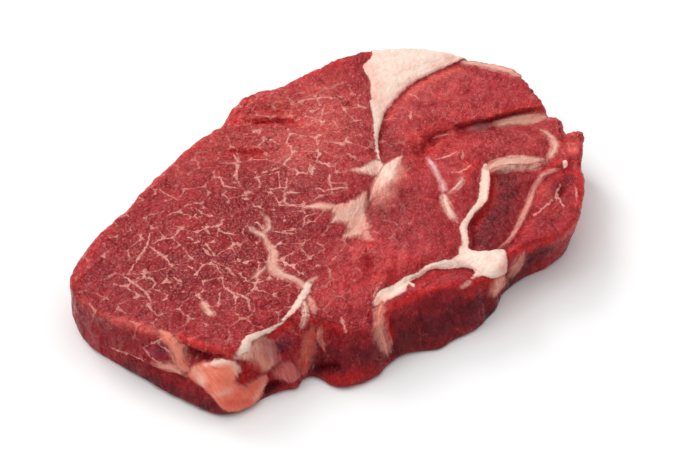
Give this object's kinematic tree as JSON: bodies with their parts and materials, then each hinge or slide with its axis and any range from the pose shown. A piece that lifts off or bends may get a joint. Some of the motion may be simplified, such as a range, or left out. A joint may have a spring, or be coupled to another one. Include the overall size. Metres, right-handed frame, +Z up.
{
  "type": "raw beef steak",
  "caption": "Thick raw beef steak lying flat: one marbled main muscle and smaller muscles beside it, with fat seams, a fat corner and a flat underside.",
  "frame": {"origin": "middle of the plan, on the surface the steak rests on", "axes": "+Z up through the thickness, +X along the steak from the wide marbled end to the end with the small muscles and the fat corner, +Y towards the plain back edge"},
  "size_m": [0.2062, 0.1374, 0.0247],
  "materials": {
    "raw_meat": "moist raw red muscle with a soft gloss, fine pale marbling, cream-white fat seams and a cream fat corner"
  },
  "bodies": {
    "root": {"steak": "raw_meat"}
  },
  "joints": []
}
